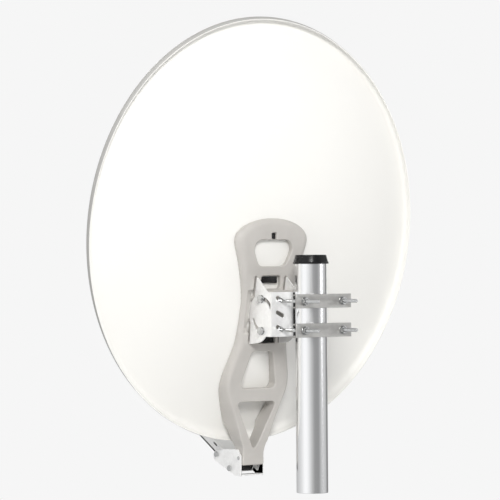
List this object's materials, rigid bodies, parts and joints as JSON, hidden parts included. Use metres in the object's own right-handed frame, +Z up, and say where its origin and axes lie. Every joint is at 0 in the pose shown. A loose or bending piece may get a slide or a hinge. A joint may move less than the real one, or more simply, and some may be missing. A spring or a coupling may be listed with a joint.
{
  "type": "satellite dish",
  "caption": "Offset satellite dish with a pressed reflector, moulded backbone, tilting mast bracket with toothed clamp jaws, and a folding feed arm, clamped to a capped mast stub.",
  "frame": {"origin": "on the mast's axis at its foot", "axes": "+Z up along the mast, -Y the way the dish looks, +X the side the dish is offset to"},
  "size_m": [0.756, 0.721, 0.9055],
  "materials": {
    "white_coat": "satin powder coat",
    "grey_casting": "fine matte",
    "zinc_sheet": "galvanised",
    "zinc_bolt": "bright zinc",
    "mast_metal": "satin drawn",
    "arm_metal": "satin",
    "black_plastic": "moulded",
    "grey_plastic": "moulded"
  },
  "bodies": {
    "mast": {"mast_tube": "mast_metal", "mast_cap": "black_plastic"},
    "mount": {"clamp_bolt_lower_left": "zinc_bolt", "clamp_bolt_lower_right": "zinc_bolt", "clamp_bolt_upper_left": "zinc_bolt", "clamp_bolt_upper_right": "zinc_bolt", "clamp_jaw_lower": "zinc_sheet", "clamp_jaw_upper": "zinc_sheet", "clamp_nut_lower_left": "zinc_bolt", "clamp_nut_lower_right": "zinc_bolt", "clamp_nut_upper_left": "zinc_bolt", "clamp_nut_upper_right": "zinc_bolt", "mount_bracket": "zinc_sheet"},
    "dish": {"arm_bracket": "zinc_sheet", "arm_lock_bolt": "zinc_bolt", "arm_lock_nut": "zinc_bolt", "arm_pivot_bolt": "zinc_bolt", "arm_pivot_nut": "zinc_bolt", "backbone": "grey_casting", "bracket_rivet_left": "zinc_bolt", "bracket_rivet_right": "zinc_bolt", "elevation_bolt_lower": "zinc_bolt", "elevation_bolt_upper": "zinc_bolt", "elevation_nut_lower": "zinc_bolt", "elevation_nut_upper": "zinc_bolt", "elevation_washer_lower_left": "zinc_bolt", "elevation_washer_lower_right": "zinc_bolt", "elevation_washer_upper_left": "zinc_bolt", "elevation_washer_upper_right": "zinc_bolt", "reflector": "white_coat", "reflector_screw_1": "zinc_bolt", "reflector_screw_2": "zinc_bolt", "reflector_screw_3": "zinc_bolt", "reflector_screw_4": "zinc_bolt"},
    "feed": {"feed_arm": "arm_metal", "feed_arm_plug": "black_plastic", "feed_clamp_cap": "grey_plastic", "feed_clamp_screw_left": "zinc_bolt", "feed_clamp_screw_right": "zinc_bolt", "feed_holder": "grey_plastic"}
  },
  "joints": [
    {"name": "azimuth_turn", "type": "hinge", "parent": "mast", "child": "mount", "pos_m": [0, 0, 0.3365], "axis": [0, 0, 1], "continuous": true},
    {"name": "elevation_tilt", "type": "hinge", "parent": "mount", "child": "dish", "pos_m": [0.035, -0.0607, 0.3365], "axis": [-1, 0, 0], "range_deg": [-8, 11]},
    {"name": "feed_arm_fold", "type": "hinge", "parent": "dish", "child": "feed", "pos_m": [0.035, -0.2248, 0.064], "axis": [-1, 0, 0], "range_deg": [0, 45]}
  ]
}
